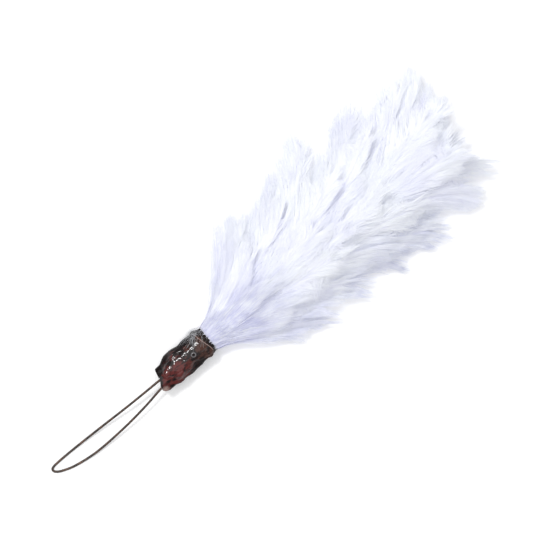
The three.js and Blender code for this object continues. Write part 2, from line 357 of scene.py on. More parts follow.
# A painted highlight round the bubble, and painted shade in its pit.
BUBBLE_HIGHLIGHT_SHARE = (0.5, 0.9), (0.62, 0.6), (0.76, 0.6), (0.9, 0)
BUBBLE_SHADE_AND_HIGHLIGHT = (0.42, LACQUER_BLACK), (0.6, BUBBLE_RIM_HIGHLIGHT)
# A pale line on top behind the front's edge: a painted highlight on the collar's ridge.
RIM_HIGHLIGHT_SLANT = 0.23
RIM_HIGHLIGHT_RAGGED = 0.8
RIM_HIGHLIGHT_SHARE = (9.05, 0), (9.2, 1), (9.35, 0)
RIM_HIGHLIGHT_HEIGHTS = (7.2, 0), (8.2, 1)
LACQUER_ROUGHNESS = dict(least=0.25, spread=0.25, scale=0.9)
GLOSS_HEIGHTS = (7, 0.03), (8.6, 0.6)
FINE_RELIEF = dict(scale=1.6, detail=3, roughness=0.5, distortion=0.6)
FINE_DEPTH = 0.05
FINE_STRENGTH = 0.6


def waves(places, wavelength, seed):
    """An even, random field over places, about -2 to 2: plane waves of nearly one length, in
    random directions and phases, summed."""
    chance = np.random.default_rng(seed)
    count = WAVES["count"]
    directions = unit(chance.normal(size=(count, 3)))
    lengths = wavelength * chance.uniform(WAVES["shortest"], WAVES["longest"], (count, 1))
    phases = chance.uniform(0, 2 * np.pi, count)
    turns = places @ (2 * np.pi * directions / lengths).T
    return np.cos(turns + phases).sum(axis=-1) * np.sqrt(2 / count)


def binding_radius(x, angle):
    """The radius of the solid binding: a narrow shoulder at the rear, a fat middle, a collar and a
    rounded lip at the front, and slanting folds where the soaked thread bunched up."""
    along = (x - BINDING_REAR) / (BINDING_FRONT - BINDING_REAR)
    body = BINDING_SHOULDER + (BINDING_BODY - BINDING_SHOULDER) * smooth(0, SHOULDER_END, along)
    belly = BELLY * np.sin(np.pi * np.minimum(1, along / BELLY_END))
    collar = COLLAR["height"] * np.exp(-(((along - COLLAR["place"]) / COLLAR["width"]) ** 2))
    lip = LIP["drop"] * smooth(LIP["start"], 1, along)
    folds = sum(
        fold["height"] * np.sin(fold["lobes"] * angle + fold["twist"] * along + fold["turned"])
        for fold in FOLDS
    )
    return body + belly + collar - lip + folds * smooth(0, FOLDS_START, along)


def surface_waves(x, angle, radius, layer):
    """The waves of one layer of relief, at places on the binding's skin."""
    places = np.stack([x, radius * np.cos(angle), radius * np.sin(angle)], axis=-1)
    return waves(places * layer["stretch"], layer["length"], layer["seed"])


def wrinkles(x, angle, radius):
    """How far set lacquer stands out from the binding: runs, knobs and fine puckers, long creases
    where a stretched field of waves crosses zero, and a burst bubble, a ring round a pit."""
    bumps = sum(bump["height"] * surface_waves(x, angle, radius, bump) for bump in BUMPS)
    crossing = surface_waves(x, angle, radius, CREASES) / CREASES["width"]
    creases = CREASES["depth"] * np.exp(-(crossing**2))
    away = np.hypot(x - BUBBLE["x"], (angle - BUBBLE["angle"]) * radius) / BUBBLE["radius"]
    ring = BUBBLE["rim"] * np.exp(-(((away - 1) / BUBBLE["rim_width"]) ** 2))
    pit = BUBBLE["depth"] * np.exp(-(away**2) * BUBBLE["floor"])
    return bumps - creases + ring - pit


def brushed(x, angle, radius):
    """The radius once a brush was drawn along the top: in a crooked band it is nearly flat, with
    small puckers, and so it catches the light as one broken line."""
    crooked = STROKE["angle"] + STROKE["slant"] * x + sum(
        waver["height"] * np.sin(waver["turns"] * x + waver["phase"]) for waver in STROKE_WAVER
    )
    off = angle - crooked
    puckers = STROKE_PUCKERS["height"] * surface_waves(x, angle, radius, STROKE_PUCKERS)
    band = STROKE["radius"] * (1 + STROKE["flatness"] * off**2 / 2) + puckers
    share = np.exp(-((off / STROKE["width"]) ** 2))
    rear, front = STROKE_ENDS["rear"], STROKE_ENDS["front"]
    share = share * smooth(rear - STROKE_ENDS["rear_fade"], rear, x)
    share = share * (1 - smooth(front, front + STROKE_ENDS["front_fade"], x))
    return radius + (band - radius) * share


def binding_middle(x):
    """How far the middle of the binding stands from the axis: its rear is off to one side."""
    along = np.maximum(0, (x - BINDING_REAR) / (BINDING_FRONT - BINDING_REAR))
    return SHOULDER_SHIFT * (1 - smooth(0, SHIFT_END, along))


def rear_reach(angle):
    """Where the bulging rear face ends at its rim: two lugs of lacquer stick out past it."""
    return REAR_FACE + REAR_BULGE * np.cos(angle) ** 2 - sum(
        lug["length"] * np.maximum(0, np.cos(angle - lug["angle"])) ** lug["sharpness"] for lug in LUGS
    )


def rear_face(angle, rim):
    """The rear face, from its middle out to the rim: a shallow hollow that rises to the rim."""
    out = np.linspace(REAR_HOLLOW["middle"], 1, REAR_STEPS)[:, None]
    hollow = REAR_HOLLOW["depth"] * (1 - out ** REAR_HOLLOW["sharpness"]) * smooth(0, 1, 1 - out)
    return rear_reach(angle) + hollow + (1 - out) * REAR_HOLLOW["cone"], rim * out


def body_skin(angle, rim):
    """The skin from the rear's rim to the front: the plain radius, never less than the cup's wall,
    with its wrinkles and the brushed band."""
    share = np.linspace(0, 1, BINDING_STEPS)[1:, None]
    rear_x = rear_reach(angle)
    x = rear_x + (BINDING_FRONT - rear_x) * share
    radius = binding_radius(np.maximum(x, BINDING_REAR), angle)
    radius = rim + (radius - rim) * smooth(0, EDGE_ROUNDING["end"], share) ** EDGE_ROUNDING["power"]
    relief = wrinkles(x, angle, radius) * smooth(0, RELIEF_END, share)
    cup_wall = CUP_RADIUS + CUP_WALL["extra"] * smooth(CUP_WALL["start"], 1, share)
    return x, brushed(x, angle, np.maximum(cup_wall, radius) + relief)


def binding_grid():
    """The binding's skin as one grid, from the middle of its rear face out over the rim, along
    the body, over the front's edge and down inside the cup. Rows run along it, columns round it."""
    angle = np.linspace(0, 2 * np.pi, BINDING_SIDES, endpoint=False)[None, :]
    rim = binding_radius(np.full_like(angle, BINDING_REAR), angle) * REAR_ROUNDING
    rear_x, rear_radius = rear_face(angle, rim)
    body_x, body_radius = body_skin(angle, rim)
    over = np.linspace(0, 1, LIP_STEPS)[1:, None]
    lip_x = BINDING_FRONT + LIP_BULGE * np.sin(np.pi * over) * np.ones_like(angle)
    lip_radius = body_radius[-1:] + (CUP_RADIUS - body_radius[-1:]) * over
    down = np.linspace(0, 1, CUP_STEPS)[1:, None]
    cup_x = BINDING_FRONT + (CUP_FLOOR - BINDING_FRONT) * down * np.ones_like(angle)
    x = np.vstack([rear_x, body_x, lip_x, cup_x])
    radius = np.vstack([rear_radius, body_radius, lip_radius, np.full_like(cup_x, CUP_RADIUS)])
    y = binding_middle(x) + radius * np.cos(angle)
    z = np.maximum(FLAT_UNDERSIDE, AXIS_HEIGHT + radius * np.sin(angle))
    return np.stack([x, y, z], axis=-1)


def lacquer_colour(finish, patches):
    """Black where the lacquer is thick: in the hollow of the waist and on the lug of the fuller
    side. Low on the sides it is darkened as painted shade. Where it is thin and high it is red
    towards the rear and brown towards the front."""
    x, y, z = finish.axes(finish.place())
    lug = finish.ramp(x - LUG_SLANT * y, *LUG_SHARE)
    waist = finish.ramp(x, *WAIST_SHARE)
    thickness = BLACKER["sideways"] * y + BLACKER["lug"] * lug + BLACKER["waist"] * waist
    # Higher up the lacquer shows its colour, and low on the sides it is darkened as painted shade.
    thin = finish.ramp(patches + z * BLACKER["low_side_shade"] - thickness, *THIN_SHARE)
    return finish.mix(thin, LACQUER_BLACK, finish.ramp(x, *LACQUER_COLOURS))


def with_spots(finish, patches, lacquer):
    """The lacquer with a pale spot where the bowed leg goes in, the bubble's pale ring, a painted
    highlight round its pit painted black as shade, and a pale line on top behind the front's
    edge, a painted highlight on the collar's ridge."""
    place = finish.place()
    x, y, z = finish.axes(place)
    # A pale spot at the rear, where the bowed leg goes in.
    pale_spot = finish.ramp(finish.distance(place, PALE_SPOT_PLACE) + PALE_SPOT_RAGGED * patches, *PALE_SPOT_SHARE)
    spotted = finish.mix(pale_spot, lacquer, PALE_SPOT_AND_HIGHLIGHT)
    away = finish.distance(place, BUBBLE_SPOT)
    # The bubble's ring is painted pale as a highlight, and its pit painted black as shade.
    ring = finish.ramp(away + BUBBLE_RAGGED * (patches - 0.5), *BUBBLE_HIGHLIGHT_SHARE)
    bubbled = finish.mix(ring, spotted, finish.ramp(away, *BUBBLE_SHADE_AND_HIGHLIGHT))
    # The pale line on top behind the front's edge is a painted highlight on the collar's ridge.
    line = finish.ramp(x + RIM_HIGHLIGHT_SLANT * y + RIM_HIGHLIGHT_RAGGED * patches, *RIM_HIGHLIGHT_SHARE)
    return finish.mix(line * finish.ramp(z, *RIM_HIGHLIGHT_HEIGHTS), bubbled, PALE_SPOT_AND_HIGHLIGHT)


def lacquer_finish():
    """Lacquer with patches of two thicknesses and painted shade low on the sides, glossy on top
    and duller low on the sides.
    """
    finish = Finish("red_brown_lacquer", Coat_Roughness=0.05, Specular_IOR_Level=0.02)
    patches = finish.noise(finish.place(PATCH_STRETCH), **PATCHES)
    lacquer = lacquer_colour(finish, patches)
    finish.feed("Base Color", with_spots(finish, patches, lacquer))
    finish.rough(LACQUER_ROUGHNESS)
    height = finish.axes(finish.place())[2]
    finish.feed("Coat Weight", finish.ramp(height, *GLOSS_HEIGHTS))
    finish.bump(finish.noise(finish.place(), **FINE_RELIEF), FINE_DEPTH, FINE_STRENGTH)
    return finish.material


def make_binding():
    grid = binding_grid()
    rows, columns = grid.shape[:2]
    rear = np.arange(columns)
    inner = (rows - 1) * columns + np.arange(columns)[::-1]
    faces = grid_faces(rows, columns, True)[:, ::-1]
    points = grid.reshape(-1, 3)
    piece = new_piece("lacquered_binding", points, faces, lacquer_finish(), (rear, inner))
    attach(piece, "root")
    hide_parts("binding")


make_binding()

# The feathers
# White feathers in seven rings, one inside another, each ring reaching further than the one
# round it. A feather is a tapering quill with soft barbs down both sides, which lie forward and
# cling together in pointed locks, more so on the narrower side of the plume. Lavender shade is
# painted into the depth: at the roots of barbs and near the binding's mouth.
RINGS = (
    dict(count=10, bore=3.7, tip=43, flare=9, bend=1.75, left=26, right=19, up=10.5, offset=0.5),
    dict(count=10, bore=3.05, tip=60, flare=10, bend=2.15, left=30.5, right=19, up=12.5, offset=0.2),
    dict(count=9, bore=2.5, tip=77, flare=14, bend=2.35, left=35.5, right=20.5, up=13.5, offset=0.5),
    dict(count=9, bore=1.95, tip=92, flare=24, bend=2.2, left=30.5, right=22, up=13.5, offset=0.25),
    dict(count=8, bore=1.4, tip=109, flare=38, bend=2.3, left=29, right=19.5, up=12, offset=0.5),
    dict(count=7, bore=0.85, tip=117, flare=52, bend=2.2, left=23.5, right=14, up=9, offset=0.2),
    dict(count=3, bore=0.32, tip=119, flare=62, bend=2.2, left=11, right=3, up=5, offset=0.75),
)
CORE_RISE = 4.1
CORE_RISE_END = 55
CORE_SPREAD = 0.6
CORE_SPREAD_END = 32
FLOOR_GAP = 0.32
FLATTENING_END = 7
EDGE_THINNING = 0.6
SIDE_FULLNESS = 0.1
SIDE_CROWDING = 0.12
SIDE_SAG = 0.6
SAG_START = 6
SAG_END = 24
QUILL_END = 6.2
QUILL_RADIUS = 0.3
QUILL_TIP_RADIUS = 0.05
QUILL_PAST_VANE = 2
QUILL_STEPS = 26
QUILL_SIDES = 6
TIP_SPREAD = 3
STAND_OFF_SPREAD = 0.07
NOTCH = dict(depth=9, place=-2, width=4)
LAID_FLAT = dict(share=0.75, start=12, end=30)
VANE_LENGTH = 60
FIRST_VANE_FOOT = BINDING_FRONT - 0.6
VANE_HALF_WIDTH = 8
VANE_FOOT = dict(width=0.4, end=0.4)
VANE_END = dict(narrowing=0.5, start=0.7)
SHORT_VANE = 62
BARBS_PER_MM = 30
HIDDEN_BARBS = 20
THINNER_LEFT = dict(share=0.45, sharpness=4)
BARB_CROWDING = 0.85
BARB_POINTS = 5
BARB_WIDTH = 0.15
BARB_TIP_WIDTH = 0.03
BARB_TAPER = 1.6
BARB_TWIST = 0.2
BARB_BEND = 0.2
BARB_RISE = dict(root=0.15, power=1.6)
FOOT_HALF_WIDTH = 2
FOOT_END = 0.3
FORWARD_REACH = 18
TIP_BARBS = 7
TIP_ROUNDING = dict(depth=5, start=0.6)
STRAY_SHARE = 0.06
STRAY = dict(sideways=1.3, lift=0.3, lift_spread=0.6)
BARB_SPREAD = dict(length=0.08, sideways=0.25, lift=0.2)
LOCKS_PER_MM = 0.75
LOCK_SIZE = dict(length=5, width=1.6)
LOCK_CALL = (0.5, 2)
LOCK_PULL = dict(least=0.05, most=0.75, least_narrow=0.35, most_narrow=0.2)
LOCK_LENGTHS = (0.75, 1.2)
LOCK_LIFT = dict(mean=0.25, spread=0.13, narrow=0.3)
LOCK_SLANT = dict(spread=0.75, narrow=0.5)
CUPPING = 0.014
SIDE_SPLAY = 2
DRIFT = 1.2
DRIFT_WAVELENGTH = 15
SURFACE_CLEARANCE = 0.12
QUILL_STRIP = 0.98
BARB_STRIP = dict(end=0.96, half_width=0.4)
FEATHER_WHITE = (0.815, 0.83, 0.845)
FEATHER_LAVENDER = (0.79, 0.8, 0.85)
# Painted lavender shade for the roots of barbs, also the grey of some single barbs.
FEATHER_SHADE_AND_GREY = (0.69, 0.695, 0.8)
# Painted shade: lavender near the binding's mouth and grey to the plume's sides.
MOUTH_SHADE = (0.5, 0.51, 0.7)
SIDE_SHADE = (0.5, 0.52, 0.65)
SOAKED_GREY = (0.2, 0.205, 0.205)
FEATHER_GLOW = (0.93, 0.94, 1.0)
QUILL_COLOUR = (0.82, 0.82, 0.88)
STREAKS = dict(scale=1, detail=3)
STREAK_STRETCH = (1.5, 46, 1)
SINGLE_BARBS = dict(scale=1, detail=2)
SINGLE_STRETCH = (0.6, 1400, 1)
LAVENDER_PATCHES = dict(scale=0.07, detail=3)
PATCH_COLOURS = (0.42, FEATHER_WHITE), (0.6, FEATHER_LAVENDER)
ROOT_SHADE_RAGGED = 0.55
ROOT_SHADE_SHARE = (0, 0), (0.55, 1)
GREYER_SHARE = (0.5, 0), (0.75, 1)
LUMPS = dict(scale=1, detail=4)
LUMP_STRETCH = (0.14, 0.3, 0.3)
CLUMPS = dict(streaks=0.6, lumps=0.4)
CLUMP_SHARE = (0.42, 0), (0.56, 1)
MOUTH_ALONG = (10, 0), (11, 1), (25, 0.9), (45, 0)
MOUTH_ACROSS = (-11, 0.3), (-6, 1), (2, 1), (7, 0.3)
SIDES_ALONG = (85, 1), (100, 0.2)
SIDES_ACROSS = (-22.5, 0.75), (-8, 0), (12.5, 0), (25, 0.2)
SOAKED_ALONG = (10, 0.65), (11.2, 0)


def wobble(seed):
    """Repeatable irregularity, from -1 to 1: the fraction of a large sine."""
    value = np.sin(seed * 12.9898) * 43758.5453
    return 2 * (value - np.floor(value)) - 1


def core_height(x):
    """The height of the plume's middle line."""
    return AXIS_HEIGHT + CORE_RISE * smooth(BINDING_FRONT - 2, CORE_RISE_END, x)


def ring_place(ring, turn, x):
    """Points of a ring's middle surface. Its half-width and half-height grow from its bore as a
    power of the distance past its flare, and its section goes from a circle to a flat lens."""
    bore = ring["bore"] * (1 + CORE_SPREAD * smooth(BINDING_FRONT, CORE_SPREAD_END, x))
    share = np.maximum(0, (x - ring["flare"]) / (ring["tip"] - ring["flare"])) ** ring["bend"]
    side = np.where(np.cos(turn) > 0, ring["left"], ring["right"])
    height = np.where(np.sin(turn) > 0, ring["up"], core_height(x) - FLOOR_GAP)
    wide = bore + (side - bore) * share
    tall = bore + (height - bore) * share
    flattened = smooth(0, FLATTENING_END, wide - bore)
    angle = turn + SIDE_CROWDING * flattened * np.sin(2 * turn)
    y = wide * np.cos(angle) * (1 + SIDE_FULLNESS * flattened * np.sin(angle) ** 2)
    z = tall * np.sin(angle) * (1 - EDGE_THINNING * flattened * np.cos(angle) ** 2)
    z = z + core_height(x)
    return np.stack([x * np.ones_like(y), y, z], axis=-1)


def sagged(points):
    """Feathers that stand off to the sides sag under their own weight: all heights shrink, by up
    to a share of themselves, with the distance from the plume's middle line."""
    low = 1 - SIDE_SAG * smooth(SAG_START, SAG_END, np.abs(points[..., 1]))
    return points * np.stack([np.ones_like(low), np.ones_like(low), low], axis=-1)


def vane_frame(ring, turn, x):
    """Forward, across and outward directions of a feather at places along it. The outward one
    leans from the ring's own towards the vertical, as feathers turn flat when the plume lies."""
    step = 0.02
    round_it = ring_place(ring, turn + step, x) - ring_place(ring, turn - step, x)
    forward = unit(ring_place(ring, turn, x + step) - ring_place(ring, turn, x - step))
    outward = unit(np.cross(round_it, forward))
    upright = np.array((0, 0, np.sign(np.sin(turn))))
    lean = LAID_FLAT["share"] * smooth(LAID_FLAT["start"], LAID_FLAT["end"], x)[..., None]
    outward = unit(outward + lean * upright)
    across = unit(np.cross(outward, forward))
    return forward, across, np.cross(forward, across)


def vane_half_width(share, tip):
    """Half the vane's width at a share of its length: narrow at its foot, broad past the middle,
    and half as wide at its ragged end. Short feathers are narrower."""
    swell = VANE_FOOT["width"] + (1 - VANE_FOOT["width"]) * smooth(0, VANE_FOOT["end"], share)
    narrowed = 1 - VANE_END["narrowing"] * smooth(VANE_END["start"], 1, share)
    return VANE_HALF_WIDTH * min(1, tip / SHORT_VANE) * swell * narrowed


def barb_roots(chance, vane, turn):
    """Where barbs leave a vane, as shares of its length, and how far across it they lie, from -1
    to 1. They crowd towards the tip, and there are fewer on feathers of the fuller side."""
    thinned = THINNER_LEFT["share"] * max(0, np.cos(turn)) ** THINNER_LEFT["sharpness"]
    count = int(BARBS_PER_MM * (vane + HIDDEN_BARBS) * (1 - thinned))
    share = np.sort(chance.uniform(0, 1, count)) ** BARB_CROWDING
    return share, chance.uniform(-1, 1, count)


def into_locks(chance, share, spread, vane, narrow):
    """Draws each barb part of the way to the nearest lock's middle, in lock lengths and widths.
    Some locks call barbs from further off, and some barbs stray. Returns the number of each
    barb's lock, whether it strays, and the share and spread that its end is bound for."""
    lock_count = int(LOCKS_PER_MM * vane)
    lock_share = np.sort(chance.uniform(0, 1, lock_count))
    lock_spread = chance.uniform(-1, 1, lock_count)
    along = (share[:, None] - lock_share) * vane / LOCK_SIZE["length"]
    across = (spread[:, None] - lock_spread) * VANE_HALF_WIDTH / LOCK_SIZE["width"]
    lock = ((along**2 + across**2) * chance.uniform(*LOCK_CALL, lock_count)).argmin(axis=1)
    stray = chance.uniform(0, 1, len(share)) < STRAY_SHARE
    least = LOCK_PULL["least"] + LOCK_PULL["least_narrow"] * narrow
    most = LOCK_PULL["most"] + LOCK_PULL["most_narrow"] * narrow
    pull = np.where(stray, 0, chance.uniform(least, most, len(share)))
    end_share = share + (lock_share[lock] - share) * pull
    return lock, stray, end_share, spread + (lock_spread[lock] - spread) * pull


def barb_ends(chance, ring, turn, foot, share, spread):
    """How far each barb ends from its root: forward, across and up. Barbs of a lock share most of
    their length, lift and slant, and locks are wilder on the narrower side of the plume."""
    tip = ring["tip"]
    vane = tip - TIP_BARBS - foot
    narrow = max(0, -np.cos(turn))
    lock, stray, end_share, end_spread = into_locks(chance, share, spread, vane, narrow)
    count, lock_count = len(share), int(LOCKS_PER_MM * vane)
    lock_length = chance.uniform(*LOCK_LENGTHS, lock_count)
    lift_spread = LOCK_LIFT["spread"] + LOCK_LIFT["narrow"] * narrow
    lock_lift = chance.normal(LOCK_LIFT["mean"], lift_spread, lock_count)
    lock_slant = chance.normal(0, LOCK_SLANT["spread"] + LOCK_SLANT["narrow"] * narrow, lock_count)
    length = lock_length[lock] * chance.normal(1, BARB_SPREAD["length"], count)
    reach = FORWARD_REACH - (FORWARD_REACH - TIP_BARBS) * share**2
    rounding = TIP_ROUNDING["depth"] * spread**2 * smooth(TIP_ROUNDING["start"], 1, share)
    forward = reach * length + (end_share - share) * vane - rounding
    end_x = foot + vane * share + forward
    half = vane_half_width(np.clip((end_x - foot) / (tip + 1 - foot), 0, 1), tip)
    across = end_spread * half + lock_slant[lock] + chance.normal(0, BARB_SPREAD["sideways"], count)
    across = across + np.where(stray, chance.normal(0, STRAY["sideways"], count), 0)
    lift = lock_lift[lock] + chance.normal(0, BARB_SPREAD["lift"], count)
    lift = lift + np.where(stray, chance.normal(STRAY["lift"], STRAY["lift_spread"], count), 0)
    return forward, across, lift


def barb_paths(ring, turn, foot, seed):
    """The middle lines of a feather's barbs, as an array of barbs by points by 3, with the
    outward direction at each point. Barbs leave the quill at a slant and bend forward."""
    chance = np.random.default_rng(seed)
    vane = ring["tip"] - TIP_BARBS - foot
    share, spread = barb_roots(chance, vane, turn)
    ends = barb_ends(chance, ring, turn, foot, share, spread)
    forward_end, across_end, lift_end = (end[:, None] for end in ends)
    across_start = (spread * FOOT_HALF_WIDTH * (1 - smooth(0, FOOT_END, share)))[:, None]
    t = np.linspace(0, 1, BARB_POINTS)[None, :]
    root_x = (foot + vane * share)[:, None]
    slope = vane_frame(ring, turn, root_x)[0][..., 0]
    x = root_x + forward_end * slope * ((1 - BARB_BEND) * t + BARB_BEND * t**2)
    turned = (1 + BARB_BEND) * t - BARB_BEND * t**2
    sideways = across_start * (1 - turned) + across_end * turned
    raised = BARB_RISE["root"] + lift_end * t ** BARB_RISE["power"] - CUPPING * sideways**2
    _, across, outward = vane_frame(ring, turn, x)
    points = ring_place(ring, turn, x) + across * sideways[..., None] + outward * raised[..., None]
    drift = DRIFT * waves(points[:, -1], DRIFT_WAVELENGTH, ring["level"])
    splay = SIDE_SPLAY * np.cos(turn) * abs(np.cos(turn))
    points[..., 1] += (splay + drift[:, None]) * t**2
    return sagged(points), outward, chance


def ribbons(paths, outward, chance, root_width=BARB_WIDTH):
    """A flat tapering ribbon along each path. Its width lies in the vane, a little twisted. In
    the UV map a ribbon runs along U, and each has a thin strip of V."""
    forward = unit(np.gradient(paths, axis=1))
    flat = unit(np.cross(forward, outward))
    twist = chance.normal(0, BARB_TWIST, (len(paths), 1, 1))
    across = np.cos(twist) * flat + np.sin(twist) * outward
    t = np.linspace(0, 1, paths.shape[1])[None, :, None]
    width = BARB_TIP_WIDTH + (root_width - BARB_TIP_WIDTH) * (1 - t**BARB_TAPER)
    edges = np.stack([paths - across * width / 2, paths + across * width / 2], axis=2)
    count, along = paths.shape[:2]
    strip = grid_faces(along, 2, False)[None]
    faces = strip + (np.arange(count) * along * 2)[:, None, None]
    sides = np.array((-1, 1)) * BARB_STRIP["half_width"]
    spot_v = ((np.arange(count) + 0.5)[:, None, None] + sides) / count
    uv = np.stack(np.broadcast_arrays(t, BARB_STRIP["end"] * spot_v), axis=-1)
    return edges.reshape(-1, 3), faces.reshape(-1, 4), uv.reshape(-1, 2)


def plain_feather(finish, layout, along, streaks):
    """White with lavender patches, painted shade at the roots of barbs, and some single barbs
    greyer.
    """
    patches = finish.ramp(finish.noise(finish.place(), **LAVENDER_PATCHES), *PATCH_COLOURS)
    # The roots of barbs are painted darker as shade.
    past_root_shade = finish.ramp(along + ROOT_SHADE_RAGGED * (streaks - 0.5), *ROOT_SHADE_SHARE)
    depth = finish.mix(past_root_shade, FEATHER_SHADE_AND_GREY, patches)
    single = finish.noise(finish.stretched(layout, SINGLE_STRETCH), **SINGLE_BARBS)
    return finish.mix(finish.ramp(single, *GREYER_SHARE), depth, FEATHER_SHADE_AND_GREY)


def shaded_feather(finish, plain, streaks):
    """The plain colour with streaks of painted lavender shade near the binding's mouth and of
    painted grey shade to the sides of the plume. Barbs that lie on the binding are grey with
    lacquer."""
    x, y, _ = finish.axes(finish.place())
    lumps = finish.noise(finish.place(LUMP_STRETCH), **LUMPS)
    clumps = finish.ramp(CLUMPS["streaks"] * streaks + CLUMPS["lumps"] * lumps, *CLUMP_SHARE)
    # Where streaks of painted shade fall: near the mouth and to the sides of the plume.
    mouth = finish.ramp(x, *MOUTH_ALONG) * finish.ramp(y, *MOUTH_ACROSS)
    sides = finish.ramp(y, *SIDES_ACROSS) * finish.ramp(x, *SIDES_ALONG)
    shaded = finish.mix(mouth * clumps, plain, MOUTH_SHADE)
    shaded = finish.mix(sides * clumps, shaded, SIDE_SHADE)
    return finish.mix(finish.ramp(x, *SOAKED_ALONG), shaded, SOAKED_GREY)


def feather_finish():
    """Soft white barbs and pale quills. The glow stands for the light that passes through them."""
    finish = Finish(
        "white_barbs", Roughness=0.8, Specular_IOR_Level=0.2, Emission_Color=(*FEATHER_GLOW, 1),
        Emission_Strength=0.09,
    )
    layout = finish.node("ShaderNodeUVMap", {"uv_map": "OFBake"})
    along, number, _ = finish.axes(layout)
    streaks = finish.noise(finish.stretched(layout, STREAK_STRETCH), **STREAKS)
    plain = plain_feather(finish, layout, along, streaks)
    barbs = shaded_feather(finish, plain, streaks)
    is_quill = number.math("GREATER_THAN", (BARB_STRIP["end"] + QUILL_STRIP) / 2)
    finish.feed("Base Color", finish.mix(is_quill, barbs, QUILL_COLOUR))
    return finish.material


def set_uv(piece, uv):
    """Gives each face corner the UV place of its point."""
    corners = np.empty(len(piece.data.loops), int)
    piece.data.loops.foreach_get("vertex_index", corners)
    piece.data.uv_layers.new(name="OFBake").data.foreach_set("uv", uv[corners].ravel())


def quill(ring, turn):
    """A tapering tube along the middle of a feather, with its closed ends and its UV strip."""
    x = np.linspace(QUILL_END, ring["tip"] - TIP_BARBS + QUILL_PAST_VANE, QUILL_STEPS)
    radii = np.linspace(QUILL_RADIUS, QUILL_TIP_RADIUS, QUILL_STEPS)
    points, faces = tube(sagged(ring_place(ring, turn, x)), radii, QUILL_SIDES)
    round_it = np.linspace(QUILL_STRIP, 1, QUILL_SIDES)
    along = np.linspace(0, 1, QUILL_STEPS)
    uv = np.stack(np.meshgrid(round_it, along)[::-1], axis=-1)
    rear = np.arange(QUILL_SIDES)[::-1]
    front = len(points) - QUILL_SIDES + np.arange(QUILL_SIDES)
    return points, faces, uv.reshape(-1, 2), (rear, front)


def make_feather(name, ring, turn, seed, material):
    foot = max(FIRST_VANE_FOOT, ring["tip"] - VANE_LENGTH)
    barbs, barb_faces, barb_uv = ribbons(*barb_paths(ring, turn, foot, seed))
    shaft, shaft_faces, shaft_uv, ends = quill(ring, turn)
    points = np.vstack([barbs, shaft])
    points[:, 2] = np.maximum(points[:, 2], SURFACE_CLEARANCE)
    faces = np.vstack([barb_faces, shaft_faces + len(barbs)])
    piece = new_piece(name, points, faces, material, [end + len(barbs) for end in ends])
    set_uv(piece, np.vstack([barb_uv, shaft_uv]))
    return piece


def notched(ring, turn):
    """How much shorter a feather is when it ends near the notch in the plume's end."""
    side = (ring["left"] if np.cos(turn) > 0 else ring["right"]) * np.cos(turn)
    return NOTCH["depth"] * np.exp(-(((side - NOTCH["place"]) / NOTCH["width"]) ** 2))


def make_plume(material):
    number = 0
    for level, ring in enumerate(RINGS):
        for j in range(ring["count"]):
            number += 1
            turn = 2 * np.pi * (j + ring["offset"]) / ring["count"]
            wider = 1 + STAND_OFF_SPREAD * wobble(number + 100)
            own = dict(ring, tip=ring["tip"] + TIP_SPREAD * wobble(number) - notched(ring, turn))
            own.update(left=ring["left"] * wider, right=ring["right"] * wider, level=level)
            piece = make_feather(f"barbs_{number:02d}", own, turn, number, material)
            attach(piece, "root")
            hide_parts(f"feather_{number:02d}")


white_barbs = feather_finish()
make_plume(white_barbs)

# The down
# Short soft barbs at the feet of the outer feathers, where the plume leaves the binding. A few
# have come loose on the fuller side, lie back over the front of the binding and stick to it.
FEET = dict(count=1500, width=0.12, lengths=(4, 9), starts=(0.15, 1), radii=(3.4, 4.7))
FEET_FLARE = dict(mean=0.3, spread=0.1, power=1.3)
FEET_TURN = 0.12
CAUGHT = dict(count=130, width=0.045, angles=(-0.3, 1), lengths=(1.5, 5.5), starts=(0, 4.5))
CAUGHT_FRONT = BINDING_FRONT + 0.3
CAUGHT_SHORTER = dict(most=1.2, with_angle=0.6)
CAUGHT_ARCH = 0.5
CAUGHT_TURN = 0.4
CAUGHT_HEIGHT = dict(least=0.25, spread=0.5)


def forward_down(chance):
    """Barbs that leave the front of the cup and its rim forwards and bend outwards, as a power of
    the way along them. Returns their paths and the directions straight out."""
    count = FEET["count"]
    angle = chance.uniform(0, 2 * np.pi, count)[:, None]
    length = chance.uniform(*FEET["lengths"], count)[:, None]
    start = BINDING_FRONT + chance.uniform(*FEET["starts"], count)[:, None]
    foot_radius = chance.uniform(*FEET["radii"], count)[:, None]
    flare = chance.normal(FEET_FLARE["mean"], FEET_FLARE["spread"], count)[:, None]
    t = np.linspace(0, 1, BARB_POINTS)[None, :]
    radius = foot_radius + length * flare * t ** FEET_FLARE["power"]
    around = angle + chance.normal(0, FEET_TURN, count)[:, None] * t
    return from_axis(start + length * t, around, radius)


def caught_down(chance):
    """Stray barbs that bend back over the collar and lie just off the binding's surface, with a
    low arch between their ends."""
    count = CAUGHT["count"]
    angle = chance.uniform(*CAUGHT["angles"], count)[:, None]
    length = chance.uniform(*CAUGHT["lengths"], count)[:, None]
    length = length * (CAUGHT_SHORTER["most"] - CAUGHT_SHORTER["with_angle"] * angle)
    start = CAUGHT_FRONT - chance.uniform(*CAUGHT["starts"], count)[:, None]
    t = np.linspace(0, 1, BARB_POINTS)[None, :]
    arch = np.sin(np.pi * t)
    x = start - length * t + CAUGHT_ARCH * arch
    around = angle + chance.normal(0, CAUGHT_TURN, count)[:, None] * t
    height = np.abs(chance.normal(0, CAUGHT_HEIGHT["spread"], count))[:, None]
    clear = CAUGHT_HEIGHT["least"] + height * arch
    return from_axis(x, around, binding_radius(np.minimum(x, BINDING_FRONT), around) + clear)


